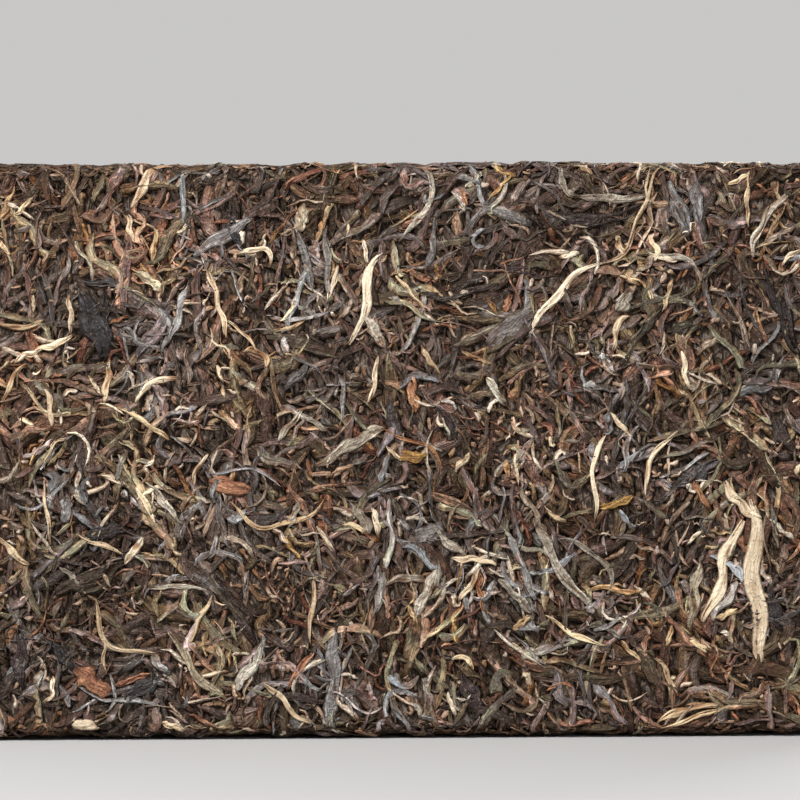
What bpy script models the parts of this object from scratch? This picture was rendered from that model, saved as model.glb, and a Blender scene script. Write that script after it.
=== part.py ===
"""A pressed pu erh tea brick that stands on one of its long narrow sides.

The brick is one solid: leaves pressed in a steel mould into a block with flat faces, rounded edges,
shallow hollows where the leaves packed less tightly, and slightly crumbled edges.
Metres, +Z up. The origin is the middle of the narrow side that the brick stands on.
"""

import bmesh
import bpy
from mathutils import Vector, noise

# Driving dimensions, in metres
brick_length = 0.250
brick_thickness = 0.035
brick_height = 0.160
edge_radius = 0.004
edge_segments = 3

# Unevenness of the pressed surface, in metres. It only goes inwards, so the mould's size stays true.
cell_size = 0.008
hollow_depth = 0.0006
hollow_width = 0.030
crumble_depth = 0.0007
crumble_width = 0.011
crumble_offset = (7.0, 3.0, 5.0)    # so that the edges don't crumble where the faces are hollow
foot_height = 0.00004               # points lower than this are the foot, which stays flat

# Pressed tea leaf, as linear colour
leaf_colour = (0.126, 0.092, 0.070, 1.0)
leaf_roughness = 0.62


def clear_scene():
    for obj in list(bpy.data.objects):
        bpy.data.objects.remove(obj)


def leaf_material():
    material = bpy.data.materials.new("pressed_tea")
    material.use_nodes = True
    shader = material.node_tree.nodes["Principled BSDF"]
    shader.inputs["Base Color"].default_value = leaf_colour
    shader.inputs["Roughness"].default_value = leaf_roughness
    shader.inputs["Metallic"].default_value = 0.0
    return material


def rounded_block(bm):
    """The mould's own shape: a box on the floor with every edge rounded."""
    bmesh.ops.create_cube(bm, size=1.0)
    bmesh.ops.scale(bm, vec=(brick_length, brick_thickness, brick_height), verts=bm.verts)
    bmesh.ops.translate(bm, vec=(0.0, 0.0, brick_height / 2), verts=bm.verts)
    bmesh.ops.bevel(
        bm,
        geom=list(bm.edges),
        offset=edge_radius,
        segments=edge_segments,
        profile=0.5,
        affect="EDGES",
        material=-1,
    )


def cut_across(bm, axis, low, high):
    """Cuts the flat faces into rows of about cell_size between two planes, so that they can be made uneven."""
    rows = max(1, round((high - low) / cell_size))
    normal = Vector((0.0, 0.0, 0.0))
    normal[axis] = 1.0
    for row in range(1, rows):
        place = normal * (low + (high - low) * row / rows)
        geometry = list(bm.verts) + list(bm.edges) + list(bm.faces)
        bmesh.ops.bisect_plane(bm, geom=geometry, dist=1e-6, plane_co=place, plane_no=normal)


def inset_from_middle(point):
    """How far a point lies inside the rounded part, from 0 on a flat face to 1 at the outer edge or corner."""
    half = Vector((brick_length / 2, brick_thickness / 2, brick_height / 2))
    from_middle = point - Vector((0.0, 0.0, brick_height / 2))
    past = [max(0.0, abs(from_middle[i]) - (half[i] - edge_radius)) / edge_radius for i in range(3)]
    past.sort()
    return past[1]


def press_unevenly(bm):
    """Moves each point inwards by the hollows' depth and, on the edges, by how much has crumbled. The foot stays flat."""
    bm.normal_update()
    moves = {}
    for vert in bm.verts:
        if vert.co.z < foot_height:
            continue
        hollow = max(0.0, noise.noise(vert.co / hollow_width)) * hollow_depth
        crumble = max(0.0, noise.noise(vert.co / crumble_width + Vector(crumble_offset))) * crumble_depth
        moves[vert] = vert.normal * -(hollow + crumble * inset_from_middle(vert.co))
    for vert, move in moves.items():
        vert.co += move
        vert.co.z = max(vert.co.z, 0.0)


def build_brick():
    bm = bmesh.new()
    rounded_block(bm)
    half_length = brick_length / 2 - edge_radius
    half_thickness = brick_thickness / 2 - edge_radius
    cut_across(bm, 0, -half_length, half_length)
    cut_across(bm, 1, -half_thickness, half_thickness)
    cut_across(bm, 2, edge_radius, brick_height - edge_radius)
    press_unevenly(bm)
    bmesh.ops.triangulate(bm, faces=[face for face in bm.faces if len(face.verts) > 4])
    mesh = bpy.data.meshes.new("tea_brick")
    bm.to_mesh(mesh)
    bm.free()
    mesh.shade_smooth()
    mesh.materials.append(leaf_material())
    brick = bpy.data.objects.new("tea_brick", mesh)
    bpy.context.scene.collection.objects.link(brick)
    return brick


clear_scene()
build_brick()
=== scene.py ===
import math

import bmesh
import bpy
import numpy as np
from mathutils import Matrix, Vector


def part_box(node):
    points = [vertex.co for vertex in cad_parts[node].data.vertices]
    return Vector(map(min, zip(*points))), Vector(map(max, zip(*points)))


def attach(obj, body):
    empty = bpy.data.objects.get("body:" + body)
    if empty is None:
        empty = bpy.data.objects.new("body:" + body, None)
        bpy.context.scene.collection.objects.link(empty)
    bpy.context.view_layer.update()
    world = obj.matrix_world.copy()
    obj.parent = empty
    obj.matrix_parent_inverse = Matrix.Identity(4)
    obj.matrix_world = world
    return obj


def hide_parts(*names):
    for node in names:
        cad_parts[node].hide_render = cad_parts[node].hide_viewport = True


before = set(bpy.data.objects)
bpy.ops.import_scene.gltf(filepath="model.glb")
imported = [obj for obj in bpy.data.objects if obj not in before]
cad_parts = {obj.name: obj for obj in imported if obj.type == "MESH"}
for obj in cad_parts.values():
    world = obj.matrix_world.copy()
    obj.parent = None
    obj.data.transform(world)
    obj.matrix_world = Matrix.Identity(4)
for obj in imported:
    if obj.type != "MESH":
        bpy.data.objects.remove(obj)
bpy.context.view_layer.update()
brickLow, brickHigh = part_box("tea_brick")
print("frame loaded")

# The mould that the leaves were pressed in, and how they filled it. Metres.
mould = {
    "edgeRadius": 0.0042,
    "heapDepth": 0.0014,      # loose leaf lies this deep before the solid core
    "unevenness": 0.0004,     # slow dips of the pressed face
    "dipWidth": 0.040,
    "crumble": 0.0010,        # how much of the edges has come off
    "crumbleWidth": 0.006,
    "crumbleShare": 0.2,      # above 0, more of the edge has crumbled than hasn't
    "edgeTurn": 0.29,         # how far the surface has turned from the broad face where it crumbles fully
    "footClearance": 0.0003,  # the leaves underneath stay this far above the floor
    "footHeight": 0.0045,     # up to this height above the foot, the leaves are darkened as painted shade, and worn back
    "footWear": 0.0006,
    "cell": 0.0004,           # of the map that keeps how high the leaves have piled up
}
boxLow = np.array(brickLow)
boxHigh = np.array(brickHigh)
boxMiddle = (boxLow + boxHigh) / 2


def ontoMould(points):
    # nearest points of the rounded block, and its outward directions there
    radius = mould["edgeRadius"]
    inside = np.clip(points, boxLow + radius, boxHigh - radius)
    outward = points - inside
    outward = outward / np.maximum(np.linalg.norm(outward, axis=-1, keepdims=True), 1e-9)
    return inside + outward * radius, outward


def addObject(name, data):
    obj = bpy.data.objects.new(name, data)
    bpy.context.scene.collection.objects.link(obj)
    return obj


def meshFrom(bm, name):
    mesh = bpy.data.meshes.new(name)
    bm.to_mesh(mesh)
    bm.free()
    return mesh


def fill(values, name, numbers, kind=np.float32):
    values.foreach_set(name, numbers.astype(kind).ravel())


def unit(vectors):
    return vectors / np.maximum(np.linalg.norm(vectors, axis=-1, keepdims=True), 1e-9)


def slowWaves(points, width, seed):
    # a smooth field between about -1 and 1 that changes over about this width
    waves = 7
    widthChange = (0.6, 1.4)
    rng = np.random.default_rng(seed)
    total = np.zeros(points.shape[:-1])
    for wave in range(waves):
        direction = unit(rng.normal(size=3)) * rng.uniform(*widthChange) * math.tau / (2 * width)
        total += np.sin(points @ direction + rng.uniform(0, math.tau))
    return total / (waves / 2)


def nearFoot(points):
    # 1 at the foot, 0 above the foot's height
    return np.clip(1 - (points[..., 2] - boxLow[2]) / mould["footHeight"], 0, 1)


def ranged(rng, limits, count, bias=1.0):
    # random values between the limits; with a bias over 1, more of them are low
    return limits[0] + (limits[1] - limits[0]) * rng.random(count) ** bias


# The heap: for every cell of the mould's surface, how high the leaves reach. 0 is the mould, less is deeper.
cellCount = np.round((boxHigh - boxLow) / mould["cell"]).astype(int)
cellSize = (boxHigh - boxLow) / cellCount
heap = np.full(cellCount + 1, -mould["heapDepth"], np.float32)


def cellsAt(points):
    # the nearest cell of the heap's map to each point
    return tuple(np.moveaxis(((points - boxLow) / cellSize + 0.5).astype(int), -1, 0))


# How all leaves are laid. Metres, radians and shares.
laying = {
    "batch": 16,              # leaves that are laid at once
    "patchWidth": 0.014,      # kinds gather, and tones change, over about this width
    "hueWidth": 0.016,
    "facing": 0.7,            # how squarely a place faces outwards on a broad face or an end
    "lostShare": 0.4,         # leaves that lie any way at all, for each radian of stray
    "layerStray": 0.55,       # of the leaves on the narrow sides
    "climb": 0.0004,          # how far a leaf rises above its own level to follow what lies under it
    "keelDepth": 0.0002,      # of the underside, below the lowest top
    "sunk": 0.6,              # how much of its thickness a leaf keeps under the mould's surface
    "endReach": 0.25,         # share of the length over which an end dips
}


def lowPlaces(rng, count, kind):
    # for each leaf the best of a few random places on the block: low, and in its kind's patches
    picks = kind["picks"]
    size = boxHigh - boxLow
    areas = np.array([size[1] * size[2], size[0] * size[2], size[0] * size[1]])
    axis = rng.choice(3, (count, picks), p=areas / areas.sum())
    points = boxLow + rng.random((count, picks, 3)) * size
    side = rng.random((count, picks)) < 0.5
    for each in range(3):
        wall = np.where(side, boxLow[each], boxHigh[each])
        points[..., each] = np.where(axis == each, wall, points[..., each])
    points = ontoMould(points)[0]
    score = heap[cellsAt(points)] - kind["gathers"] * slowWaves(points, laying["patchWidth"], kind["seed"])
    return points[np.arange(count), score.argmin(1)]


# How the leaves lie on the broad faces: at x and z the way that most of them point. Millimetres and degrees.
sweeps = [
    (-104, 150, 50), (-85, 145, 92), (-64, 146, 65), (-49, 139, 38), (-30, 150, 58), (-24, 131, 98),
    (-4, 148, 28), (20, 150, 52), (56, 148, 3), (84, 148, 95), (105, 146, 55), (-104, 127, 80),
    (-84, 116, 112), (-62, 117, 76), (-46, 118, 115), (-12, 122, 82), (5, 121, 135), (20, 124, 10),
    (34, 115, 35), (46, 121, 50), (66, 111, 56), (86, 128, 3), (103, 120, 110), (-98, 104, 35),
    (-72, 97, 40), (-51, 95, 88), (-27, 105, 160), (-6, 98, 100), (12, 101, 128), (28, 95, 132),
    (48, 99, 122), (63, 96, 85), (85, 103, 115), (100, 95, 138), (-105, 75, 92), (-92, 63, 95),
    (-65, 68, 130), (-49, 58, 102), (-25, 86, 150), (-14, 76, 25), (-20, 62, 135), (1, 64, 100),
    (15, 58, 135), (28, 72, 108), (38, 70, 80), (49, 72, 95), (65, 72, 110), (79, 77, 38),
    (104, 62, 100), (-86, 47, 25), (-105, 28, 95), (-90, 27, 120), (-74, 42, 165), (-58, 29, 122),
    (-42, 21, 55), (-27, 38, 95), (-8, 41, 100), (9, 40, 72), (32, 41, 130), (44, 47, 118),
    (60, 41, 3), (87, 47, 75), (98, 44, 92), (108, 34, 50), (-74, 13, 30), (-101, 12, 55),
    (-20, 16, 88), (-11, 20, 102), (20, 14, 105), (52, 28, 165), (71, 19, 122), (52, 13, 105),
    (83, 7, 18), (95, 17, 135),
]
sweepReach = 9.0
# Darker, paler and coloured patches: x, z, reach, how much paler, and hue from 0 blue-grey to 1 golden.
patches = [
    (-83, 115, 10, -0.55, 0.0), (-97, 145, 14, -0.25, 0.4), (-79, 155, 9, -0.1, 0.6), (-52, 138, 8, 0.1, 0.0),
    (-34, 147, 10, -0.45, 0.2), (55, 145, 9, -0.5, 0.0), (70, 136, 10, 0.35, 0.8), (-68, 132, 10, 0.25, 0.7),
    (20, 126, 8, -0.4, 0.1), (34, 116, 9, -0.1, 0.1), (-17, 103, 9, -0.3, 0.2), (-60, 112, 10, 0.15, 0.1),
    (-3, 90, 8, -0.3, 0.3), (27, 97, 9, 0.2, 0.7), (-28, 108, 8, 0.0, 0.9), (-80, 57, 8, -0.45, 0.0),
    (-90, 45, 12, -0.3, 0.4), (-93, 28, 10, -0.5, 0.0), (-70, 14, 8, -0.5, 0.0), (-58, 27, 10, 0.25, 0.6),
    (-22, 16, 8, 0.0, 0.0), (-13, 63, 8, 0.05, 0.9), (6, 51, 7, -0.3, 0.1), (10, 42, 9, 0.35, 0.7),
    (24, 15, 11, -0.3, 0.3), (64, 56, 13, -0.3, 0.1), (92, 55, 9, 0.3, 0.6), (104, 38, 10, -0.35, 0.2),
    (80, 6, 9, 0.2, 0.7), (47, 12, 10, -0.15, 0.5), (-104, 104, 10, 0.2, 0.8), (100, 125, 11, -0.2, 0.3),
]


def onFace(points):
    # x and z in millimetres; the back is turned half round, so that it isn't the front again
    place = np.stack([points[..., 0], points[..., 2]], -1) * 1000
    turned = np.array([0.0, boxHigh[2] * 1000]) - place
    return np.where(points[..., 1:2] > 0, turned, place)


def nearness(points, places, reach):
    offset = np.linalg.norm(onFace(points)[..., None, :] - places, axis=-1)
    return np.exp(-((offset / reach) ** 2))


def flow(points):
    # the angle of the sweeps at these points. A leaf lies the same way turned half round, so the angles are
    # doubled before they are mixed.
    place = np.array(sweeps, float)
    doubled = np.radians(place[:, 2]) * 2
    share = nearness(points, place[:, :2], sweepReach) + 1e-9
    return 0.5 * np.arctan2((share * np.sin(doubled)).sum(-1), (share * np.cos(doubled)).sum(-1))


def patchChange(points):
    # how much paler, and how far towards which hue
    place = np.array(patches, float)
    share = nearness(points, place[:, :2], place[:, 2])
    total = np.minimum(share.sum(-1), 1.0)
    hue = (share * place[:, 4]).sum(-1) / (share.sum(-1) + 1e-9)
    return (share * place[:, 3]).sum(-1), total, hue


def startDirections(rng, points, outward, stray):
    # in sweeps on the broad faces; along the narrow sides, where the pressed layers are seen edge on
    count = len(points)
    atEnd = np.abs(outward[:, :1]) > laying["facing"]
    longAxis = np.where(atEnd, [[0.0, 0.0, 1.0]], [[1.0, 0.0, 0.0]])
    longWay = unit(longAxis - outward * (outward * longAxis).sum(1, keepdims=True))
    sideWay = np.cross(outward, longWay)
    broad = np.abs(outward[:, 1]) > laying["facing"]
    lost = rng.random(count) < stray * laying["lostShare"]
    swept = flow(points) + rng.normal(0, stray, count) + lost * rng.uniform(0, math.pi, count)
    layered = rng.normal(0, laying["layerStray"], count)
    angle = np.where(broad, swept, layered) + math.pi * (rng.random(count) < 0.5)
    return longWay * np.cos(angle[:, None]) + sideWay * np.sin(angle[:, None])


def walk(place, along, stepLength, turns):
    # follows the mould from a place, turning a little at each step, and gives the line with its outward and
    # its along directions
    place, outward = ontoMould(place)
    along = unit(along - outward * (along * outward).sum(-1, keepdims=True))
    line = [place]
    normals = [outward]
    headings = [along]
    for step in range(turns.shape[1]):
        turn = turns[:, step:step + 1]
        along = along * np.cos(turn) + np.cross(outward, along) * np.sin(turn)
        place, outward = ontoMould(place + along * stepLength[:, None])
        along = unit(along - outward * (along * outward).sum(-1, keepdims=True))
        line.append(place)
        normals.append(outward)
        headings.append(along)
    return np.stack(line, 1), np.stack(normals, 1), np.stack(headings, 1)


def smoothed(grid, axis, times=1):
    # each value blended with its two neighbours
    for each in range(times):
        before = np.concatenate([grid.take([0], axis), grid.take(range(grid.shape[axis] - 1), axis)], axis)
        after = np.concatenate([grid.take(range(1, grid.shape[axis]), axis), grid.take([-1], axis)], axis)
        grid = (before + 2 * grid + after) / 4
    return grid


def finer(grid, axis, times):
    # more values between the ones there are, in straight lines
    if times < 2:
        return grid
    steps = grid.shape[axis] - 1
    where = np.linspace(0, steps, steps * times + 1)
    first = np.minimum(where.astype(int), steps - 1)
    share = (where - first).reshape([-1 if each == axis else 1 for each in range(grid.ndim)])
    return grid.take(first, axis) * (1 - share) + grid.take(first + 1, axis) * share


def softLimit(value, limit, width=0.00008):
    # the lower of the two, with a rounded change over this width
    return -width * np.logaddexp(-value / width, -limit / width)


# One dictionary for each kind of leaf. Lengths in metres, angles in radians, shares from 0 to 1.
# when: the part of the laying in which it goes down. picks: how hard it looks for a low place.
# gathers: how much it keeps to its own patches, as a height. below: how far under the mould its top stays.
plainLeaf = {
    "stations": 9, "columns": 5, "when": (0.2, 0.92), "picks": 6, "gathers": 0.0003, "stray": 0.5,
    "length": (0.007, 0.022), "width": (0.0012, 0.0034), "thickness": (0.0005, 0.0009),
    "bend": 0.75, "wiggle": 0.32, "kinks": 0.12, "hooked": 0.16, "turns": (1.5, 4.5), "pinch": 0.35,
    "groove": 0.8, "tilt": 0.8, "tips": (0.05, 0.35), "blunt": (0.1, 0.8), "dip": 0.0004, "drape": 0.45,
    "ragged": 0.35, "crumple": 0.14, "ribs": 0.35, "below": (-0.0002, 0.0004),
}
plainBit = dict(plainLeaf, stations=4, columns=4, when=(0.2, 1.0), picks=8, length=(0.0035, 0.010),
                width=(0.0011, 0.0030), kinks=0.22, bend=1.0, tips=(0.1, 0.5), turns=(0.5, 1.5), ragged=0.5,
                crumple=0.25, ribs=0.3, stray=0.8)
plainCrumb = dict(plainBit, stations=3, columns=3, length=(0.0012, 0.0036), thickness=(0.0002, 0.0004),
                  hooked=0.0, pinch=0.0, groove=0.0, dip=0.0001)
leafKinds = {
    "underLeaves": dict(plainLeaf, count=1600, seed=11, stations=4, columns=4, when=(0.0, 0.3), picks=5,
                        length=(0.010, 0.022), width=(0.0026, 0.0058), drape=0.6, crumple=0.3),
    "broadLeaves": dict(plainLeaf, count=170, seed=12, columns=6, when=(0.3, 0.85), picks=3, kinks=0.08,
                        length=(0.012, 0.026), width=(0.0030, 0.0054), thickness=(0.0004, 0.0007), drape=0.35,
                        bend=0.4, wiggle=0.2, hooked=0.0, pinch=0.2, groove=0.7, ragged=0.25, tilt=0.6,
                        tips=(0.3, 0.5), blunt=(0.0, 0.3), crumple=0.15, ribs=0.5),
    "darkTwists": dict(plainLeaf, count=1180, seed=13, length=(0.009, 0.026), width=(0.0015, 0.0042)),
    "brownTwists": dict(plainLeaf, count=1120, seed=14),
    "greyLeaves": dict(plainLeaf, count=800, seed=15, when=(0.3, 0.92), width=(0.0017, 0.0045), groove=0.5),
    "rustLeaves": dict(plainLeaf, count=260, seed=24, stations=7, columns=4, when=(0.4, 0.98),
                       length=(0.005, 0.015), width=(0.0010, 0.0028)),
    "thinStrands": dict(plainLeaf, count=1000, seed=25, stations=6, columns=3, when=(0.3, 1.0), groove=0.1,
                        length=(0.005, 0.018), width=(0.0005, 0.0012), thickness=(0.0003, 0.0006)),
    "darkBits": dict(plainBit, count=1500, seed=21),
    "brownBits": dict(plainBit, count=1750, seed=22),
    "tanLeaves": dict(plainLeaf, count=750, seed=16, stations=6, columns=4, when=(0.3, 0.98),
                      length=(0.005, 0.018), width=(0.0010, 0.0027), tips=(0.1, 0.45), blunt=(0.0, 0.6)),
    "creamBuds": dict(plainLeaf, count=500, seed=17, stations=6, columns=4, when=(0.5, 1.0),
                      length=(0.0040, 0.014), width=(0.0009, 0.0022), bend=1.0, hooked=0.3, groove=0.4,
                      tips=(0.1, 0.45), blunt=(0.0, 0.5), pinch=0.2, stray=0.7),
    "redStems": dict(plainLeaf, count=330, seed=18, stations=6, columns=3, when=(0.4, 1.0),
                     length=(0.005, 0.016), width=(0.0006, 0.0014), thickness=(0.0003, 0.0005),
                     bend=0.6, groove=0.1, pinch=0.1, blunt=(0.4, 1.0)),
    "darkCrumbs": dict(plainCrumb, count=1100, seed=19, when=(0.5, 1.0), width=(0.0006, 0.0016)),
    "paleCrumbs": dict(plainCrumb, count=1700, seed=20, when=(0.6, 1.0), width=(0.0006, 0.0017), picks=6),
}

# Leaves with a place of their own on the front face: x, z, heading, length and width, and for a bent leaf the
# bends of its first and its last half. Millimetres and degrees.
ownLeaf = dict(plainLeaf, stations=18, columns=7, when=(0.93, 0.95), kinks=0.06, wiggle=0.16,
               turns=(1.5, 3.5), pinch=0.3, tips=(0.15, 0.45), blunt=(0.0, 0.35), drape=0.3, ragged=0.2,
               crumple=0.06, below=(-0.0003, 0.0))
ownLeaves = {
    "longBuds": dict(ownLeaf, seed=31, when=(0.95, 0.96), pinch=0.18, leaves=[
        (-74, 147, 66, 19, 2.9, 0, -62), (-75, 145, -78, 8, 2.0, 0, 10), (-91, 123, -86, 11, 1.7, 4, -24),
        (-90, 112, 204, 12, 2.3, 0, -8), (-98, 109, 228, 10, 2.0, -36, 40),
        (-103, 104, 212, 13, 1.7, 34, 0), (-53, 130, -84, 20, 2.0, 10, 5), (-48, 116, -45, 13, 1.1),
        (-78, 92, -18, 17, 1.8, -15, -10), (-110, 138, -72, 5, 1.7, 25, 0), (-101, 123, -90, 5, 1.4),
        (-101, 150, 215, 8, 1.6, 10, 0), (-98, 97, -55, 11, 1.8, -30, 0), (-80, 105, -98, 12, 2.2),
        (-61, 100, 186, 15, 2.2, 15, 45), (-45, 134, 30, 14, 1.7, -25, -130),
        (-14, 109, 60, 28, 2.8, 25, -35), (-10, 138, -80, 7, 1.4), (-17, 131, -108, 11, 1.7, 0, 5),
        (-6, 106, -85, 14, 1.6, -15, -25), (-29, 122, -105, 8, 1.3, -10, -40),
        (36, 112, 58, 29, 2.5, -6, -34), (91, 153, 28, 7, 1.5), (59, 107, 88, 12, 2.3, 0, -95),
        (77, 132, 180, 9, 2.1, -10, -40), (69, 139, -62, 8, 1.9, -10, -30),
        (78, 107, -78, 11, 1.7, -5, 10), (58, 90, -33, 9, 1.7, -20, 0), (44, 133, 12, 6, 2.1),
        (112, 135, 186, 8, 1.6, 30, 30), (-53, 79, -118, 10, 1.4, 0, 15), (-73, 70, -62, 12, 1.9),
        (-71, 56, -125, 9, 2.5), (-89, 57, -45, 14, 1.6, 35, -25), (-96, 18, -88, 9, 1.5, -10, -50),
        (-24, 45, -98, 19, 1.8, 0, 18), (-23, 59, -55, 8, 1.5), (-16, 59, 10, 7, 1.8, -20, -60),
        (-8, 64, -58, 9, 2.2, -22, 0), (-4, 81, -42, 6, 1.3), (14, 50, 8, 13, 2.2, -12, -30),
        (14, 22, 28, 8, 1.8, -45, -65), (16, 38, 55, 11, 2.0, 0, 10), (13, 13, -72, 7, 1.5),
        (90, 71, -78, 15, 3.4, 34, 20), (95, 60, -128, 31, 4.0, 30, -26), (77, 85, -145, 22, 1.7, 26, 34),
        (57, 84, -132, 25, 1.6, 40, 14), (40, 34, -25, 19, 1.7, -12, 26), (79, 53, 45, 6, 1.4),
        (80, 27, -35, 6, 2.3), (-91, 5, -12, 8, 4.2), (-66, 5, -20, 7, 2.4),
        (-38, 16, -46, 18, 2.0, 5, 0), (72, 2, 14, 17, 1.7, 8, 6), (97, 66, -91, 46, 5.6, -2, 24),
    ]),
    "goldenCurls": dict(ownLeaf, seed=32, leaves=[
        (-112, 116, -40, 15, 2.0, 42, 30), (-106, 153, -102, 11, 2.0, -10, -20),
        (-67, 141, -92, 9, 2.0, -10, 5), (-43, 107, 15, 10, 2.1, -40, -80), (-35, 113, 0, 9, 1.4, 15, 15),
        (2, 130, 205, 5, 1.4), (-1, 128, -50, 13, 1.6), (17, 107, -20, 9, 1.5, 0, -10),
        (6, 109, -58, 10, 2.1), (55, 131, 14, 36, 1.6, 62, -18), (97, 157, -92, 16, 1.6, 0, 5),
        (60, 139, -70, 6, 2.4), (76, 127, -108, 10, 1.6, 0, -10), (-47, 66, -62, 33, 2.0, 62, 62),
        (-112, 57, -45, 13, 2.4, 5, 0), (-98, 72, -90, 18, 1.5, 5, 5), (-98, 75, 95, 11, 1.3, -30, -60),
        (-84, 39, -86, 28, 1.7, 34, 68), (-52, 40, -118, 17, 1.7, 0, 8), (-82, 30, -86, 12, 1.3),
        (2, 37, -62, 6, 1.5), (31, 30, 38, 6, 2.3), (61, 27, -50, 8, 1.6, 0, 15), (70, 22, -56, 13, 2.0),
        (41, 63, -62, 6, 1.9, 30, 30), (75, 31, -105, 6, 2.0), (71, 4, 22, 18, 2.6, -8, 5),
        (87, 33, 22, 7, 2.0),
    ]),
    "khakiLeaves": dict(ownLeaf, seed=33, leaves=[
        (83, 49, -100, 20, 3.9, 0, 5), (37, 61, -66, 31, 3.6, 8, 12), (44, 55, 15, 24, 2.1, -60, -65),
        (-64, 30, -60, 25, 3.3, 8, 14), (-69, 42, 12, 17, 1.8, -14, -22), (-70, 71, -50, 15, 2.6),
        (-38, 27, -124, 16, 3.8, 5, 0), (-4, 86, 200, 22, 4.0, 5, 12), (-14, 66, -60, 11, 4.0),
        (9, 59, -44, 13, 2.7), (-5, 43, 32, 13, 2.9, -28, -40), (10, 47, -108, 15, 3.6, -5, -5),
        (27, 44, -45, 13, 2.8), (-28, 66, -110, 8, 3.0), (45, 159, -90, 12, 2.3, 20, 62),
        (48, 150, -2, 22, 3.1, 0, 6), (109, 152, -142, 23, 2.6, 20, 22), (6, 160, -45, 26, 2.3, -85, -25),
        (-9, 117, -62, 10, 4.2), (-26, 148, -100, 8, 4.6), (-73, 129, -35, 9, 3.3),
        (-27, 91, 232, 11, 2.2), (-27, 90, -36, 10, 2.3), (60, 118, 60, 7, 4.8),
        (71, 133, 0, 16, 2.1, -24, -30), (24, 100, -56, 10, 2.8), (-94, 48, -40, 9, 2.0),
    ]),
    "greyStrips": dict(ownLeaf, seed=34, leaves=[
        (-40, 144, 212, 20, 4.4, -5, 10), (10, 144, -90, 14, 2.6, -10, -10), (-20, 142, -88, 22, 2.6),
        (-28, 139, -76, 16, 3.2, 0, 5), (82, 155, -86, 13, 4.4), (-58, 127, -112, 18, 2.8, 8, -8),
        (-75, 80, -112, 9, 2.3), (-50, 68, -80, 16, 2.8, 0, 8), (-51, 58, -105, 9, 2.2),
        (-92, 68, -95, 8, 4.0), (-42, 47, -97, 9, 1.6), (-18, 30, -95, 28, 4.6), (-6, 48, -97, 15, 2.7),
        (30, 57, -76, 20, 2.8, 8, 4), (4, 55, 22, 9, 5.6, 0, -20), (103, 64, -82, 12, 2.0),
        (-17, 101, -85, 14, 1.8), (31, 29, -46, 13, 1.3, 0, 10), (50, 19, -80, 12, 1.4, 0, 10),
        (24, 109, 38, 17, 6.4, 0, -8), (64, 87, -100, 14, 2.4, 0, 5),
    ]),
    "rustStrips": dict(ownLeaf, seed=35, leaves=[
        (-36, 137, 50, 13, 1.6), (31, 156, -125, 10, 1.3, 0, -20), (24, 122, -62, 7, 1.9),
        (31, 123, -110, 6, 2.6), (-79, 15, 20, 11, 1.9), (-80, 115, 22, 6, 1.4),
        (55, 64, 14, 10, 2.5, 0, 10), (81, 71, -60, 10, 2.3), (52, 41, 14, 15, 1.9, -14, -20),
        (22, 46, -84, 12, 1.9, 0, 5), (-24, 24, -126, 13, 2.1), (-5, 86, -18, 25, 1.3, -10, -62),
        (-90, 20, -38, 12, 6.4), (-53, 71, -10, 12, 5.4), (3, 100, -82, 10, 4.2), (17, 152, -70, 5, 2.0),
        (29, 77, -80, 5, 2.2), (40, 13, 35, 9, 1.3, -20, -60), (-1, 78, 4, 9, 3.8),
    ]),
    "charcoalLeaves": dict(ownLeaf, seed=36, when=(0.90, 0.92), below=(-0.0002, 0.0001), crumple=0.2,
                           ribs=0.8, pinch=0.1, tips=(0.3, 0.5), blunt=(0.0, 0.3), ragged=0.5, leaves=[
        (-88, 124, -70, 21, 6.6, 0, -6), (-81, 123, -94, 18, 6.4), (-77, 121, -4, 17, 3.8),
        (-88, 127, 4, 12, 3.6, -8, -8), (41, 145, 0, 30, 3.8, 4, 8), (3, 126, -42, 26, 3.3, 46, 22),
        (26, 132, -45, 16, 3.2, 36, 6), (-95, 41, 24, 21, 6.0), (-105, 32, -88, 18, 4.0),
        (-87, 57, 6, 11, 4.6), (-76, 11, 38, 13, 5.0), (88, 77, -148, 14, 4.2), (74, 112, 12, 10, 5.4),
        (100, 132, -72, 28, 4.6, 4, 0), (73, 120, -130, 23, 3.2, 8, 5), (17, 18, -75, 13, 6.4, 0, 10),
        (-44, 136, 100, 12, 4.6), (103, 45, -80, 16, 4.4), (-96, 27, -52, 10, 3.6),
        (10, 92, -60, 11, 3.2), (-26, 68, -52, 13, 3.0),
    ]),
}


# How every leaf's cross-sections are made, in shares of its width and thickness
section = {
    "tipLeast": 0.02,         # keeps the tips from closing to nothing
    "tipCurve": 0.6,          # below 1, a tip fills out fast
    "raggedLeast": 0.35,      # limits of a ragged side
    "raggedMost": 1.7,
    "grooveWidth": 0.32,
    "grooveShift": 0.2,       # how far off the middle the groove may start
    "grooveSwing": 0.5,
    "grooveTurns": 0.5,       # of its swing, for each turn of the twist
    "tiltTurns": 0.35,
    "tiltHeight": 0.5,
    "rimHeight": 0.06,
    "tipHeight": 0.3,
    "twistHeight": 1.15,      # the tighter the twist, the nearer the leaf comes to this height
    "twistDrop": 0.3,         # at its full width it is lower by this
    "ribHeight": 1.6,
    "rimRibs": 0.2,           # ribs at the rim, as a share of those in the middle
}


def tipShape(along, tip, blunt):
    # how wide the leaf is at each place near one of its tips
    filled = np.clip(along / tip, section["tipLeast"], 1) ** section["tipCurve"]
    return blunt + (1 - blunt) * filled


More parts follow.
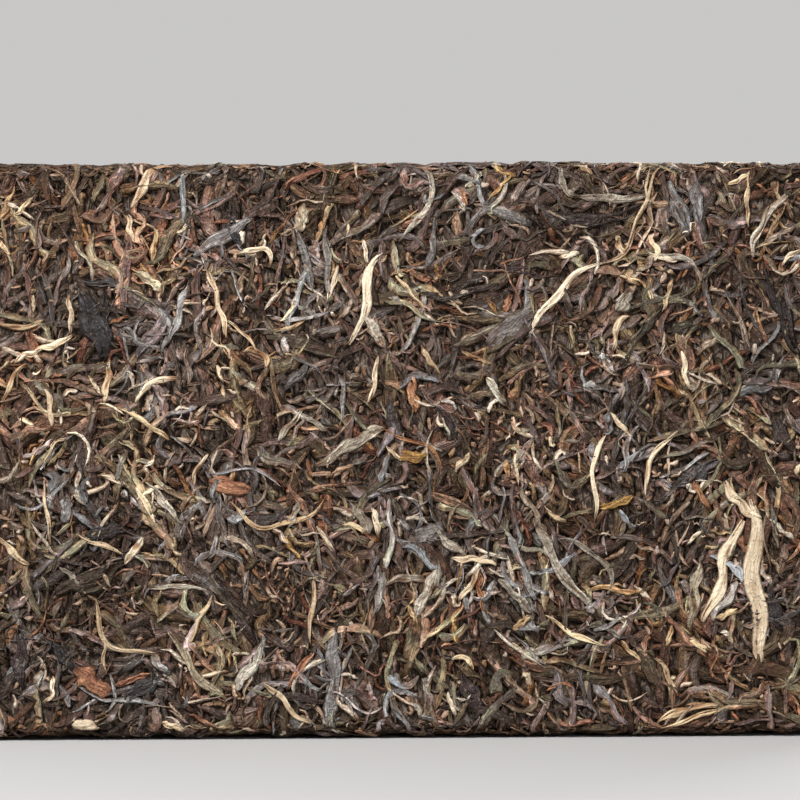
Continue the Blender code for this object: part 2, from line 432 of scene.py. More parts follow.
def crossing(kind, rng, count):
    # each leaf's own shape, as arrays over leaf, station and column: how far aside and how high in shares
    stations = kind["stations"] + 1
    u = np.linspace(0, 1, stations)[None, :, None]
    v = np.linspace(-1, 1, kind["columns"])[None, None, :]

    def each(low, high):
        return rng.uniform(low, high, (count, 1, 1))

    firstTip = ranged(rng, kind["tips"], (count, 1, 1))
    lastTip = ranged(rng, kind["tips"], (count, 1, 1))
    firstBlunt = ranged(rng, kind["blunt"], (count, 1, 1))
    lastBlunt = ranged(rng, kind["blunt"], (count, 1, 1))
    taper = tipShape(u, firstTip, firstBlunt) * tipShape(1 - u, lastTip, lastBlunt)
    turns = ranged(rng, kind["turns"], (count, 1, 1))
    phase = each(0, math.tau)
    pinching = 1 - kind["pinch"] * (0.5 + 0.5 * np.sin(math.tau * turns * u + phase))
    ragged = 1 + kind["ragged"] * smoothed(rng.normal(0, 1, (count, stations, 2)), 1, 1 + stations // 9)
    ragged = np.clip(ragged, section["raggedLeast"], section["raggedMost"])
    sides = np.where(v < 0, ragged[..., :1], ragged[..., 1:])
    aside = v * taper * pinching * sides
    roundness = np.sqrt(np.clip(1 - v * v, 0, 1))
    swing = np.sin(math.tau * turns * section["grooveTurns"] * u + each(0, math.tau))
    grooveAt = section["grooveSwing"] * swing + each(-section["grooveShift"], section["grooveShift"])
    groove = kind["groove"] * np.exp(-((v - grooveAt) / section["grooveWidth"]) ** 2)
    tilt = kind["tilt"] * each(-1, 1) * np.sin(math.tau * turns * section["tiltTurns"] * u + phase)
    high = roundness * (1 - groove) + tilt * v * section["tiltHeight"] + section["rimHeight"]
    high = high * (section["tipHeight"] + (1 - section["tipHeight"]) * taper)
    high = high * (section["twistHeight"] - section["twistDrop"] * pinching)
    ribs = smoothed(rng.normal(0, 1, high.shape), 1, 3) * section["ribHeight"]
    crumples = rng.normal(0, 1, high.shape)
    ribShare = section["rimRibs"] + (1 - section["rimRibs"]) * roundness
    high = high + (kind["ribs"] * ribs + kind["crumple"] * crumples) * ribShare
    return aside, high


def mouldLimit(kind, line, normals, thickness, rng):
    # how high the middle of each leaf may lie: lower in the dips, where the edges crumbled and near the foot
    limit = -ranged(rng, kind["below"], (len(line), 1)) - laying["sunk"] * thickness[:, None]
    limit = limit - mould["unevenness"] * (1 + slowWaves(line, mould["dipWidth"], seed=3)) / 2
    turned = np.clip((1 - np.abs(normals[..., 1])) / mould["edgeTurn"], 0, 1)
    crumbled = np.clip(slowWaves(line, mould["crumbleWidth"], seed=5) + mould["crumbleShare"], 0, 1)
    underneath = np.clip(-normals[..., 2], 0, 1)
    limit = limit - mould["crumble"] * turned * crumbled
    limit = limit - mould["footClearance"] * underneath
    return limit - mould["footWear"] * nearFoot(line) * (1 - underneath)


def raiseHeap(kind, foot, top):
    # marks how high these leaves reach in every cell under them
    alongTimes = math.ceil(kind["length"][1] / kind["stations"] / mould["cell"])
    acrossTimes = math.ceil(kind["width"][1] / (kind["columns"] - 1) / mould["cell"])
    fineFoot = finer(finer(foot, 1, alongTimes), 2, acrossTimes)
    fineTop = finer(finer(top, 1, alongTimes), 2, acrossTimes)
    np.maximum.at(heap, cellsAt(ontoMould(fineFoot)[0]), fineTop)


def layLeaves(kind, line, normals, headings, width, thickness, rng):
    # rests leaves on what lies under them and adds them to the heap
    count = len(line)
    sideways = np.cross(headings, normals)
    aside, high = crossing(kind, rng, count)
    across = line[:, :, None] + sideways[:, :, None] * aside[..., None] * width[:, None, None, None] / 2
    foot, outward = ontoMould(across)
    below = heap[cellsAt(foot)]
    level = smoothed(below.max(2) * 0.5 + below.mean(2) * 0.5, 1, 2)
    u = np.linspace(0, 1, line.shape[1])[None]
    for fromEnd in (u, 1 - u):
        dip = kind["dip"] * rng.random((count, 1))
        level = level - dip * np.clip(1 - fromEnd / laying["endReach"], 0, 1) ** 2
    limit = mouldLimit(kind, line, normals, thickness, rng)
    level = softLimit(level, limit)
    draped = np.minimum(smoothed(smoothed(below, 1), 2), level[..., None] + laying["climb"])
    base = level[..., None] * (1 - kind["drape"]) + kind["drape"] * draped
    base = softLimit(base, limit[..., None])
    top = base + high * thickness[:, None, None]
    top = softLimit(top, limit[..., None] + laying["sunk"] * thickness[:, None, None])
    raiseHeap(kind, foot, top)
    underside = top.min(2) - laying["keelDepth"]
    keel = line + normals * underside[..., None]
    surface = foot + outward * top[..., None]
    return {
        "line": line,
        "ring": np.concatenate([surface, keel[:, :, None]], 2),
        "depth": np.concatenate([top, underside[..., None]], 2),
        "length": np.linalg.norm(np.diff(line, axis=1), axis=-1).sum(1),
        "width": width,
    }


# How tone and hue differ from leaf to leaf, and over the block
tones = {
    "patchChange": 1.2,       # how strongly a patch's own change counts
    "slowChange": 0.28,
    "footPaintedShade": 0.8,
    "hueSpread": 0.48,
    "slowHueChange": 0.42,
}


def withTones(laid, rng):
    # each leaf's own tone and hue, shifted by the patch that it lies in
    middle = laid.pop("line")
    middle = middle[:, middle.shape[1] // 2]
    count = len(middle)
    paler, share, hue = patchChange(middle)
    tone = rng.random(count) + paler * tones["patchChange"]
    tone = tone + slowWaves(middle, laying["patchWidth"], seed=9) * tones["slowChange"]
    # painted shade: leaves near the foot are darker, standing in for the shade on the rounded foot edge
    tone = tone - nearFoot(middle) * tones["footPaintedShade"]
    ownHue = 0.5 + rng.uniform(-tones["hueSpread"], tones["hueSpread"], count)
    ownHue = ownHue + slowWaves(middle, laying["hueWidth"], seed=10) * tones["slowHueChange"]
    laid["tone"] = np.clip(tone, 0, 1)
    laid["hue"] = np.clip(ownHue + (hue - 0.5) * share, 0, 1)
    laid["seed"] = rng.random(count)
    return laid


# How the leaves' lines bend. Radians, and waves or shares of the length.
bending = {
    "lengthBias": 1.4,        # more of the leaves are short than long
    "widthBias": 1.2,
    "waves": (0.6, 1.6),      # of the wiggle
    "hook": (0.8, 2.4),       # how far a hooked end turns
    "hookStart": (0.6, 0.8),
    "hookReach": 0.25,
    "ownWaves": (1.3, 2.6),   # of the leaves with a place of their own
    "ownWiggle": (0.4, 1.8),
}


def scatter(kind, count, rng):
    # a few leaves of one kind, wherever the heap is low
    start = lowPlaces(rng, count, kind)
    place, outward = ontoMould(start)
    along = startDirections(rng, place, outward, kind["stray"])
    length = ranged(rng, kind["length"], count, bending["lengthBias"])
    steps = kind["stations"]
    stepsBack = 4
    halfBack = walk(place, -along, length / 2 / stepsBack, np.zeros((count, stepsBack)))
    u = np.linspace(0, 1, steps + 1)[None]
    bend = rng.normal(0, kind["bend"], (count, 1))
    wiggle = kind["wiggle"] * rng.normal(0, 1, (count, 1))
    waves = rng.uniform(*bending["waves"], (count, 1))
    heading = bend * (u - 0.5) + wiggle * np.sin(math.tau * (waves * u + rng.random((count, 1))))
    hooked = rng.random((count, 1)) < kind["hooked"]
    hook = hooked * rng.choice([-1, 1], (count, 1)) * rng.uniform(*bending["hook"], (count, 1))
    hookStart = rng.uniform(*bending["hookStart"], (count, 1))
    heading = heading + hook * np.clip((u - hookStart) / bending["hookReach"], 0, 1)
    heading = heading + np.cumsum(rng.normal(0, kind["kinks"], heading.shape), 1)
    firstPlace = halfBack[0][:, -1]
    firstAlong = -halfBack[2][:, -1]
    line, normals, headings = walk(firstPlace, firstAlong, length / steps, np.diff(heading, axis=1))
    width = ranged(rng, kind["width"], count, bending["widthBias"])
    thickness = ranged(rng, kind["thickness"], count)
    return withTones(layLeaves(kind, line, normals, headings, width, thickness, rng), rng)


def placeOwn(kind, leaves, rng):
    # a few leaves with a place of their own on the front face
    rows = [(*leaf, 0, 0)[:7] for leaf in leaves]  # a straight leaf's bends are 0
    x, z, heading, length, width, firstBend, lastBend = np.array(rows, float).T
    start = np.stack([x / 1000, np.full(len(x), boxLow[1]), z / 1000], 1)
    angle = np.radians(heading)
    steps = kind["stations"]
    u = np.linspace(0, 1, steps + 1)[None]
    bend = np.radians(firstBend)[:, None] * np.clip(u * 2, 0, 1)
    bend = bend + np.radians(lastBend)[:, None] * np.clip(u * 2 - 1, 0, 1)
    kinks = np.cumsum(rng.normal(0, kind["kinks"], bend.shape), 1)
    waves = rng.uniform(*bending["ownWaves"], (len(x), 1))
    wiggle = kind["wiggle"] * rng.uniform(*bending["ownWiggle"], (len(x), 1))
    kinks = kinks + wiggle * np.sin(math.tau * (waves * u + rng.random((len(x), 1))))
    bend = bend + kinks - kinks.mean(1, keepdims=True)
    angle = angle + kinks[:, 0] - kinks.mean(1)
    along = np.stack([np.cos(angle), np.zeros(len(x)), np.sin(angle)], 1)
    line, normals, headings = walk(start, along, length / 1000 / steps, np.diff(bend, axis=1))
    thickness = ranged(rng, kind["thickness"], len(x))
    return withTones(layLeaves(kind, line, normals, headings, width / 1000, thickness, rng), rng)


def layAll():
    # the kinds go down mixed, in small batches
    turnsToLay = []
    generators = {}
    for name, kind in {**leafKinds, **ownLeaves}.items():
        rng = np.random.default_rng(kind["seed"])
        generators[name] = rng
        leaves = kind.get("leaves", range(kind.get("count", 0)))
        for first in range(0, len(leaves), laying["batch"]):
            turnsToLay.append((rng.uniform(*kind["when"]), name, leaves[first:first + laying["batch"]]))
    turnsToLay.sort(key=lambda turn: turn[0])
    laid = {}
    for when, name, leaves in turnsToLay:
        if name in ownLeaves:
            batch = placeOwn(ownLeaves[name], leaves, generators[name])
        else:
            batch = scatter(leafKinds[name], len(leaves), generators[name])
        laid.setdefault(name, []).append(batch)
    return {
        name: {part: np.concatenate([batch[part] for batch in batches]) for part in batches[0]}
        for name, batches in laid.items()
    }


def leafTemplate(stations, ringSize):
    # one closed leaf as a tube: its faces, and for each vertex its station and its place round the ring
    bm = bmesh.new()
    bmesh.ops.create_cone(bm, cap_ends=True, cap_tris=True, segments=ringSize, radius1=1, radius2=1, depth=1)
    lengthwise = [edge for edge in bm.edges if abs(edge.verts[0].co.z - edge.verts[1].co.z) > 0.5]
    bmesh.ops.subdivide_edges(bm, edges=lengthwise, cuts=stations - 1)
    bm.verts.index_update()
    station = []
    column = []
    for vert in bm.verts:
        station.append(round((vert.co.z + 0.5) * stations))
        angle = math.atan2(vert.co.y, vert.co.x)
        atCap = vert.co.xy.length < 0.5
        column.append(ringSize if atCap else round(angle / math.tau * ringSize) % ringSize)
    faces = [[vert.index for vert in face.verts] for face in bm.faces]
    bm.free()
    return faces, np.array(station), np.array(column)


# How the leaves' maps are laid out
maps = {
    "tipReach": 0.05,         # the tip's point lies this far past the last ring, as a share of the length
    "margin": 0.12,           # of each leaf's own rectangle
    "girth": 2.6,             # round a leaf, in widths
}


# The numbers that every leaf's finish reads
leafNumbers = ("Tone", "Hue", "Seed", "Depth", "Width")


def cornerPlaces(faces, station, column, stations, ringSize):
    # how far along and how far round its leaf each corner lies, from 0 to 1
    along = []
    around = []
    for face in faces:
        columns = [column[vert] for vert in face]
        onSeam = 0 in columns and ringSize - 1 in columns
        for vert in face:
            if column[vert] == ringSize:
                along.append(-maps["tipReach"] if station[vert] == 0 else 1 + maps["tipReach"])
                around.append(0.5)
            else:
                along.append(station[vert] / stations)
                around.append(1.0 if onSeam and column[vert] == 0 else column[vert] / ringSize)
    return np.array(along)[None], np.array(around)[None]


def addMap(mesh, name, along, around):
    layer = mesh.uv_layers.new(name=name)
    fill(layer.uv, "vector", np.stack(np.broadcast_arrays(along, around), -1))
    return layer


def withMiddle(rings):
    # each ring's own points and their middle, which closes the tips
    return np.concatenate([rings, rings.mean(2, keepdims=True)], 2)


def joinLeaves(name, kind, leaves):
    # one mesh of all leaves of a kind, from arrays, with its maps and each leaf's own numbers
    stations = kind["stations"]
    topColumns = kind["columns"]
    ringSize = topColumns + 1
    faces, station, column = leafTemplate(stations, ringSize)
    count = len(leaves["tone"])
    points = withMiddle(leaves["ring"])[:, station, column]
    depth = withMiddle(leaves["depth"])[:, station, column]
    cornerVert = np.concatenate([np.array(face) for face in faces])
    faceSize = np.array([len(face) for face in faces])
    vertCount = len(station)
    cornerCount = len(cornerVert)
    mesh = bpy.data.meshes.new(name)
    mesh.vertices.add(count * vertCount)
    fill(mesh.vertices, "co", points)
    mesh.loops.add(count * cornerCount)
    everyCorner = cornerVert[None] + np.arange(count)[:, None] * vertCount
    fill(mesh.loops, "vertex_index", everyCorner, np.int32)
    mesh.polygons.add(count * len(faces))
    faceStart = np.concatenate([[0], np.cumsum(faceSize)[:-1]])
    everyStart = faceStart[None] + np.arange(count)[:, None] * cornerCount
    fill(mesh.polygons, "loop_start", everyStart, np.int32)
    mesh.update(calc_edges=True)
    mesh.shade_smooth()

    along, around = cornerPlaces(faces, station, column, stations, ringSize)
    lengthMm = leaves["length"][:, None] * 1000
    patternMap = addMap(mesh, "leafUV", along * lengthMm, around * ringSize / (topColumns - 1))

    # a second map, with a rectangle of its own for every leaf
    shape = leaves["length"].mean() / leaves["width"].mean() / maps["girth"]
    perRow = max(1, math.ceil(math.sqrt(count / shape)))
    rows = math.ceil(count / perRow)
    number = np.arange(count)[:, None]
    filled = 1 - 2 * maps["margin"]
    packedAlong = (number % perRow + maps["margin"] + filled * along) / perRow
    packedAround = (number // perRow + maps["margin"] + filled * around) / rows
    addMap(mesh, "OFBake", packedAlong, packedAround)
    patternMap.active_render = True

    values = [np.repeat(numbers, vertCount) for numbers in (leaves["tone"], leaves["hue"], leaves["seed"])]
    values.append(np.clip(1 + depth.ravel() / mould["heapDepth"], 0, 1))
    values.append(np.repeat(leaves["width"] * 1000, vertCount))
    for part, numbers in zip(leafNumbers, values):
        fill(mesh.attributes.new("leaf" + part, "FLOAT", "POINT").data, "value", numbers)
    triangles = count * int((faceSize - 2).sum())
    print(f"{name}: {count} leaves, {triangles} triangles")
    return addObject(name, mesh), triangles


class Wire:
    # a socket that can be used in plain expressions
    def __init__(self, paint, socket):
        self.paint = paint
        self.socket = socket

    def math(self, operation, *values):
        return self.paint.node("ShaderNodeMath", {"operation": operation}, dict(enumerate(values)))

    def __add__(self, other):
        return self.math("ADD", self, other)

    def __radd__(self, other):
        return self.math("ADD", other, self)

    def __sub__(self, other):
        return self.math("SUBTRACT", self, other)

    def __rsub__(self, other):
        return self.math("SUBTRACT", other, self)

    def __mul__(self, other):
        return self.math("MULTIPLY", self, other)


class Paint:
    # one material and its nodes
    def __init__(self, name):
        self.material = bpy.data.materials.new(name)
        self.material.use_nodes = True
        self.tree = self.material.node_tree
        self.shader = self.tree.nodes["Principled BSDF"]

    def node(self, kind, settings=None, inputs=None, output=0):
        made = self.tree.nodes.new(kind)
        for setting, value in (settings or {}).items():
            if setting == "stops":
                self.setStops(made.color_ramp, value)
            else:
                setattr(made, setting, value)
        for name, value in (inputs or {}).items():
            self.feed(made.inputs[name], value)
        return Wire(self, made.outputs[output])

    def setStops(self, ramp, stops):
        while len(ramp.elements) < len(stops):
            ramp.elements.new(0.5)
        for element, (position, colour) in zip(ramp.elements, stops):
            element.position = position
            element.color = (*colour, 1.0)

    def feed(self, socket, value):
        if isinstance(value, Wire):
            self.tree.links.new(value.socket, socket)
        else:
            socket.default_value = value

    def attribute(self, name):
        return self.node("ShaderNodeAttribute", {"attribute_name": name}, output="Fac")

    def vector(self, x, y, z):
        return self.node("ShaderNodeCombineXYZ", None, {"X": x, "Y": y, "Z": z})

    def noise(self, vector, scale, detail=2.0, roughness=0.5, distortion=0.0):
        values = {"Vector": vector, "Scale": scale, "Detail": detail, "Roughness": roughness}
        values["Distortion"] = distortion
        return self.node("ShaderNodeTexNoise", None, values, output="Fac")

    def between(self, value, low, high):
        # 0 below low, 1 above high, smooth in the middle
        values = {"Value": value, "From Min": low, "From Max": high}
        return self.node("ShaderNodeMapRange", {"interpolation_type": "SMOOTHSTEP"}, values)

    def mix(self, share, first, second):
        # of two colours
        return self.node("ShaderNodeMix", {"data_type": "RGBA"}, {0: share, 6: first, 7: second}, output=2)

    def ramp(self, value, stops):
        return self.node("ShaderNodeValToRGB", {"stops": stops}, {"Fac": value})

    def bump(self, height, distance):
        values = {"Strength": 1.0, "Distance": distance, "Height": height}
        self.set("Normal", self.node("ShaderNodeBump", None, values))

    def set(self, name, value):
        self.feed(self.shader.inputs[name], value)

    def scaled(self, colour, factor):
        return self.node("ShaderNodeVectorMath", {"operation": "SCALE"}, {"Vector": colour, "Scale": factor})

    def multiplied(self, first, second):
        return self.node("ShaderNodeVectorMath", {"operation": "MULTIPLY"}, {0: first, 1: second})


# Finishes. Colours are linear. Hues multiply a leaf's colour, from the bluest leaf to the most golden one.
darkHues = [(0.0, (0.68, 0.82, 0.94)), (0.17, (0.77, 0.80, 0.91)), (0.33, (0.94, 0.75, 0.78)),
            (0.50, (0.82, 0.83, 0.84)), (0.68, (0.77, 0.87, 0.64)), (0.86, (0.94, 0.84, 0.58)),
            (1.0, (1.04, 0.73, 0.59))]
paleHues = [(0.0, (0.79, 0.82, 0.85)), (0.4, (0.80, 0.83, 0.83)), (0.7, (0.82, 0.82, 0.82)),
            (1.0, (0.85, 0.83, 0.70))]
rustHues = [(0.0, (0.88, 0.72, 0.82)), (0.5, (0.87, 0.82, 0.70)), (1.0, (0.92, 0.93, 0.55))]
budHues = [(0.0, (0.80, 0.81, 0.79)), (0.6, (0.83, 0.81, 0.75)), (1.0, (0.86, 0.81, 0.66))]


def leafLook(dark, middle, bright, middleAt=0.5, **changes):
    # colours from the grooves of the darkest leaf to the ridges of the palest. spread: between leaves of a
    # kind. lift: makes them all paler. ribs: how much paler ridges are than grooves, painted highlight and
    # shade. relief: of the ribs, in metres.
    plain = {"hues": darkHues, "spread": 0.62, "lift": -0.08, "ribs": 0.36, "relief": 0.0005}
    return {**plain, "stops": [(0.0, dark), (middleAt, middle), (1.0, bright)], **changes}


leafLooks = {
    "underLeaves": leafLook((0.015, 0.0078, 0.0048), (0.084, 0.066, 0.056), (0.34, 0.28, 0.23)),
    "broadLeaves": leafLook((0.02, 0.0135, 0.012), (0.07, 0.055, 0.05), (0.26, 0.205, 0.175)),
    "darkTwists": leafLook((0.016, 0.0085, 0.0055), (0.08, 0.065, 0.058), (0.31, 0.262, 0.22)),
    "brownTwists": leafLook((0.03, 0.017, 0.011), (0.146, 0.122, 0.106), (0.45, 0.39, 0.33)),
    "greyLeaves": leafLook((0.042, 0.032, 0.028), (0.16, 0.142, 0.13), (0.42, 0.38, 0.34)),
    "rustLeaves": leafLook((0.06, 0.023, 0.013), (0.17, 0.095, 0.058), (0.42, 0.3, 0.2), hues=rustHues),
    "darkBits": leafLook((0.015, 0.008, 0.005), (0.08, 0.065, 0.057), (0.33, 0.275, 0.225)),
    "brownBits": leafLook((0.03, 0.017, 0.011), (0.153, 0.129, 0.11), (0.53, 0.46, 0.38)),
    "tanLeaves": leafLook((0.11, 0.071, 0.043), (0.3, 0.243, 0.185), (0.57, 0.49, 0.4), hues=paleHues),
    "creamBuds": leafLook((0.24, 0.172, 0.115), (0.46, 0.39, 0.305), (0.67, 0.6, 0.49), 0.45,
                          hues=paleHues),
    "redStems": leafLook((0.06, 0.024, 0.015), (0.16, 0.088, 0.062), (0.4, 0.27, 0.19), hues=paleHues),
    "thinStrands": leafLook((0.02, 0.012, 0.009), (0.125, 0.1, 0.083), (0.5, 0.43, 0.34),
                            spread=0.7, lift=-0.1),
    "darkCrumbs": leafLook((0.022, 0.014, 0.011), (0.12, 0.09, 0.073), (0.42, 0.34, 0.27)),
    "paleCrumbs": leafLook((0.17, 0.115, 0.075), (0.43, 0.36, 0.29), (0.71, 0.63, 0.53), hues=paleHues),
    "longBuds": leafLook((0.25, 0.18, 0.115), (0.47, 0.395, 0.3), (0.69, 0.61, 0.485), 0.45,
                         hues=budHues, spread=0.3, lift=0.09, ribs=0.15, relief=0.00025),
    "goldenCurls": leafLook((0.16, 0.097, 0.053), (0.37, 0.283, 0.19), (0.7, 0.59, 0.44),
                            hues=budHues, spread=0.3, lift=0.1, ribs=0.2, relief=0.0003),
    "khakiLeaves": leafLook((0.08, 0.059, 0.042), (0.25, 0.215, 0.17), (0.6, 0.53, 0.43),
                            hues=paleHues, spread=0.35, lift=0.06, ribs=0.3),
    "greyStrips": leafLook((0.045, 0.037, 0.035), (0.155, 0.14, 0.134), (0.4, 0.37, 0.345),
                           hues=paleHues, spread=0.35, lift=0.06, ribs=0.3),
    "rustStrips": leafLook((0.06, 0.025, 0.013), (0.21, 0.118, 0.058), (0.48, 0.33, 0.19),
                           hues=rustHues, spread=0.35, lift=0.08, ribs=0.3),
    "charcoalLeaves": leafLook((0.009, 0.0072, 0.0075), (0.026, 0.0215, 0.0215), (0.12, 0.1, 0.09),
                               spread=0.35, lift=0.05),
}
# How a leaf's surface is made, for all kinds
surface = {
    "ribStretch": 0.20,       # ribs, per millimetre along the leaf
    "ribPitch": 1.3,          # and across it
    "ribShare": 0.62,         # of the ribs in the relief; the rest is crinkles
    "ridges": (0.38, 0.62),   # from a groove to a ridge
    "crinkleScale": 760.0,
    "blotchScale": 260.0,
    "blotching": 0.55,
    "driftStretch": 0.16,     # slow change of hue and tone along the leaf, per millimetre
    "ribShift": 91.0,         # how far apart in the patterns two leaves may lie
    "driftShift": 57.0,
    "hueDrift": 0.5,
    "hueBlotching": 0.3,
    "rim": (0.15, 0.75),      # where the paler rim begins and is full, from the middle of the leaf
    "rimLeaves": (0.2, 0.9),  # a leaf whose seed is below the first has no rim, above the last a full one
    "rimLift": 0.20,
    "edge": (0.70, 1.08),     # where the painted shade at the leaf's edges begins and is full
    "edgeShade": 0.60,
    "shadeDepths": (0.32, 0.88),   # painted shade: leaves low in the heap are darkened, those at the mould aren't
    "deepShade": (0.43, 0.30, 0.24),
    "hueGain": 1.40,
    "roughness": 0.68,
    "polish": 0.26,           # ridges are this much smoother
    "specular": 0.30,
    "specularTint": (1.0, 0.80, 0.62, 1.0),
}


def leafFinish(name, look):
    paint = Paint(name)
    tone, hue, seed, depth, width = [paint.attribute("leaf" + part) for part in leafNumbers]
    place = paint.node("ShaderNodeUVMap", {"uv_map": "leafUV"})
    along = paint.node("ShaderNodeSeparateXYZ", None, {0: place}, output="X")
    across = paint.node("ShaderNodeSeparateXYZ", None, {0: place}, output="Y")
    here = paint.node("ShaderNodeTexCoord", output="Object")
    aside = paint.node("ShaderNodeMath", {"operation": "ABSOLUTE"}, {0: across * 2 - 1})

    # every leaf has its own part of the patterns
    aroundMm = across * width
    ribPlace = paint.vector(along * surface["ribStretch"], aroundMm * surface["ribPitch"],
                            seed * surface["ribShift"])
    driftPlace = paint.vector(along * surface["driftStretch"], seed * surface["driftShift"], 0.0)
    ribs = paint.noise(ribPlace, 1.0, roughness=0.6, distortion=0.7)
    drift = paint.noise(driftPlace, 1.0, detail=1.0)
    crinkles = paint.noise(here, surface["crinkleScale"], detail=1.0, distortion=0.5)
    blotches = paint.noise(here, surface["blotchScale"], roughness=0.6)
    relief = ribs * surface["ribShare"] + crinkles * (1 - surface["ribShare"])
    raised = paint.between(relief, *surface["ridges"])
    rim = paint.between(aside, *surface["rim"]) * paint.between(seed, *surface["rimLeaves"])
    # painted highlight and shade: ridges of the ribs are paler and grooves darker, besides the bump's own
    # shading
    shade = tone * look["spread"] + raised * look["ribs"] + (blotches + drift - 1.0) * surface["blotching"]
    body = paint.ramp(shade + rim * surface["rimLift"] + look["lift"], look["stops"])
    hueHere = hue + (drift - 0.5) * surface["hueDrift"] + (blotches - 0.5) * surface["hueBlotching"]
    tint = paint.ramp(hueHere, look["hues"])
    # painted shade: the deeper a leaf lies in the heap, the darker and warmer it is, for the shade under the
    # leaves above
    sunk = paint.between(depth, *surface["shadeDepths"])
    light = paint.mix(sunk, (*surface["deepShade"], 1.0), (1.0, 1.0, 1.0, 1.0))
    coloured = paint.multiplied(paint.multiplied(body, tint), light)
    # painted shade: each leaf is darker towards its edges, for the shadow in the gaps between leaves
    edge = paint.between(aside, *surface["edge"])
    paint.set("Base Color", paint.scaled(coloured, (1 - edge * surface["edgeShade"]) * surface["hueGain"]))
    paint.set("Roughness", surface["roughness"] - raised * surface["polish"])
    paint.set("Specular IOR Level", surface["specular"])
    paint.set("Specular Tint", surface["specularTint"])
    paint.bump(raised, look["relief"])
    return paint.material


core = {
    "inset": 0.0018,          # under the mould's surface, where the loose leaf begins
    "edgeSegments": 2,
    "pitch": 0.0016,          # of its grid
    "relief": 0.0005,         # of the crushed leaf
    "reliefWidth": 0.0020,
    "fineRelief": 0.6,        # height of the finer waves, as a share of the wide ones
    "stops": [(0.35, (0.010, 0.0052, 0.0034)), (0.5, (0.042, 0.029, 0.022)), (0.68, (0.18, 0.14, 0.11))],
    "layerStretch": (1.0, 1.0, 0.4),  # crumbs are drawn out up and down
    "crumbScale": 620.0,
    "crumbRelief": 0.0006,
    "roughness": (0.6, 0.3),  # of the darkest crumbs, and how much rougher the palest are
    "specular": 0.1,
}


def buildCore():
    # the solid heart of the block, with the relief of the crushed leaf that fills it
    bm = bmesh.new()
    size = boxHigh - boxLow - 2 * core["inset"]
    bmesh.ops.create_cube(bm, size=1.0)
    bmesh.ops.scale(bm, vec=size, verts=bm.verts)
    bmesh.ops.translate(bm, vec=boxMiddle, verts=bm.verts)
    radius = mould["edgeRadius"] - core["inset"]
    bmesh.ops.bevel(bm, geom=bm.edges[:], offset=radius, segments=core["edgeSegments"], profile=0.5,
                    affect="EDGES", material=-1)
    for axis in range(3):
        half = size[axis] / 2
        run = [edge for edge in bm.edges if abs((edge.verts[0].co - edge.verts[1].co)[axis]) > half]
        cuts = round((size[axis] - 2 * radius) / core["pitch"]) - 1
        bmesh.ops.subdivide_edges(bm, edges=run, cuts=cuts, use_grid_fill=True)
    bm.normal_update()
    places = np.array([vert.co for vert in bm.verts])
    normals = np.array([vert.normal for vert in bm.verts])
    waves = slowWaves(places, core["reliefWidth"], seed=21)
    waves += slowWaves(places, core["reliefWidth"] / 2, seed=22) * core["fineRelief"]
    places -= normals * (core["relief"] * (0.5 + 0.5 * np.clip(waves, -1, 1)))[:, None]
    for vert, place in zip(bm.verts, places):
        vert.co = place
    mesh = meshFrom(bm, "teaCore")
    mesh.shade_smooth()
    print(f"teaCore: {len(mesh.polygons)} faces")
    return addObject("teaCore", mesh)


def coreFinish():
    paint = Paint("teaCore")
    here = paint.node("ShaderNodeTexCoord", output="Object")
    layers = paint.node("ShaderNodeMapping", None, {"Vector": here, "Scale": core["layerStretch"]})
    crumbs = paint.noise(layers, core["crumbScale"], detail=3.0, roughness=0.7, distortion=1.5)
    darkest, change = core["roughness"]
    paint.set("Base Color", paint.ramp(crumbs, core["stops"]))
    paint.set("Roughness", darkest + crumbs * change)
    paint.set("Specular IOR Level", core["specular"])
    paint.bump(crumbs, core["crumbRelief"])
    return paint.material


teaCore = buildCore()
teaCore.data.materials.append(coreFinish())
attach(teaCore, "root")
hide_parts("tea_brick")

allLeaves = layAll()
print("leaves laid")
triangleTotal = 0
for name, kind in {**leafKinds, **ownLeaves}.items():
    piece, triangles = joinLeaves(name, kind, allLeaves[name])
    triangleTotal += triangles
    piece.data.materials.append(leafFinish(name, leafLooks[name]))
    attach(piece, "root")
print(f"all leaves: {triangleTotal} triangles")

studio = {
    "distance": 0.80,         # from the camera to the face
    "shownWidth": 0.2208,     # of the face, across the view
    "sensorWidth": 36.0,
    "nearest": 0.01,
    "eyeHeight": 0.0937,      # of the camera, which looks level
    "yaw": math.radians(-1.2),
    "roll": math.radians(-0.2),
    "floorSize": 6.0,
    "floorColour": (0.30, 0.295, 0.29, 1.0),
    "floorRoughness": 0.8,
    "backdrop": (0.58, 0.575, 0.57, 1.0),
    "skyLight": (1.0, 0.98, 0.965, 1.0),
    "skyStrength": 0.47,
    "lights": {               # place, width and power
        "keyLight": ((-0.45, -0.65, 0.85), 0.40, 28.0),
        "fillLight": ((0.7, -0.9, 0.35), 0.8, 5.0),
        "backLight": ((0.6, 1.1, 0.9), 0.8, 11.0),
    },
}


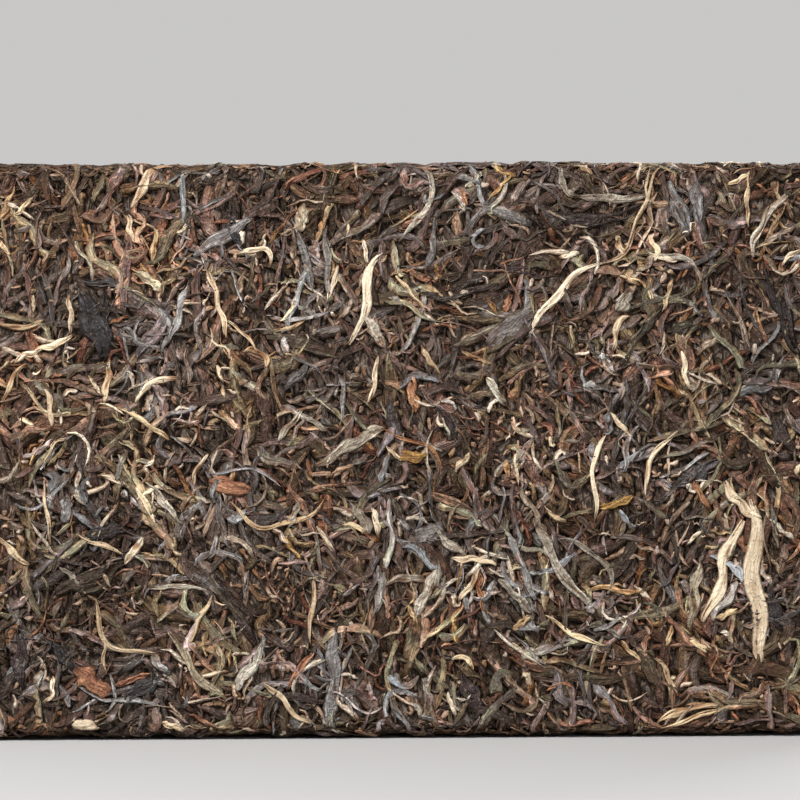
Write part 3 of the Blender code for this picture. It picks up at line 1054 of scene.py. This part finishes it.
def buildFloor():
    bm = bmesh.new()
    bmesh.ops.create_grid(bm, x_segments=1, y_segments=1, size=studio["floorSize"] / 2)
    floor = addObject("floor", meshFrom(bm, "floor"))
    paint = Paint("floor")
    paint.set("Base Color", studio["floorColour"])
    paint.set("Roughness", studio["floorRoughness"])
    floor.data.materials.append(paint.material)


def buildCamera():
    camera = bpy.data.cameras.new("camera")
    camera.sensor_width = studio["sensorWidth"]
    camera.lens = studio["sensorWidth"] * studio["distance"] / studio["shownWidth"]
    camera.clip_start = studio["nearest"]
    obj = addObject("camera", camera)
    facePoint = Vector((0.0, boxLow[1], studio["eyeHeight"]))
    back = Vector((math.sin(studio["yaw"]), -math.cos(studio["yaw"]), 0.0)) * studio["distance"]
    turn = Matrix.Rotation(studio["yaw"], 4, "Z") @ Matrix.Rotation(math.pi / 2, 4, "X")
    obj.matrix_world = Matrix.Translation(facePoint + back) @ turn @ Matrix.Rotation(studio["roll"], 4, "Z")
    bpy.context.scene.camera = obj


def buildLight(name, place, size, energy):
    # a square light that shines on the middle of the block
    light = bpy.data.lights.new(name, "AREA")
    light.shape = "SQUARE"
    light.size = size
    light.energy = energy
    obj = addObject(name, light)
    obj.location = place
    obj.rotation_euler = (Vector(boxMiddle) - Vector(place)).to_track_quat("-Z", "Y").to_euler()


def buildWorld():
    # a soft light all round, and a plain pale backdrop
    world = bpy.data.worlds.new("studio")
    world.use_nodes = True
    nodes = world.node_tree.nodes
    links = world.node_tree.links
    light = nodes["Background"]
    light.inputs["Color"].default_value = studio["skyLight"]
    light.inputs["Strength"].default_value = studio["skyStrength"]
    backdrop = nodes.new("ShaderNodeBackground")
    backdrop.inputs["Color"].default_value = studio["backdrop"]
    choice = nodes.new("ShaderNodeMixShader")
    rays = nodes.new("ShaderNodeLightPath")
    links.new(rays.outputs["Is Camera Ray"], choice.inputs[0])
    links.new(light.outputs[0], choice.inputs[1])
    links.new(backdrop.outputs[0], choice.inputs[2])
    links.new(choice.outputs[0], nodes["World Output"].inputs["Surface"])
    bpy.context.scene.world = world


buildFloor()
buildCamera()
for lightName, settings in studio["lights"].items():
    buildLight(lightName, *settings)
buildWorld()
bpy.context.scene.view_settings.view_transform = "Standard"
print("studio ready")
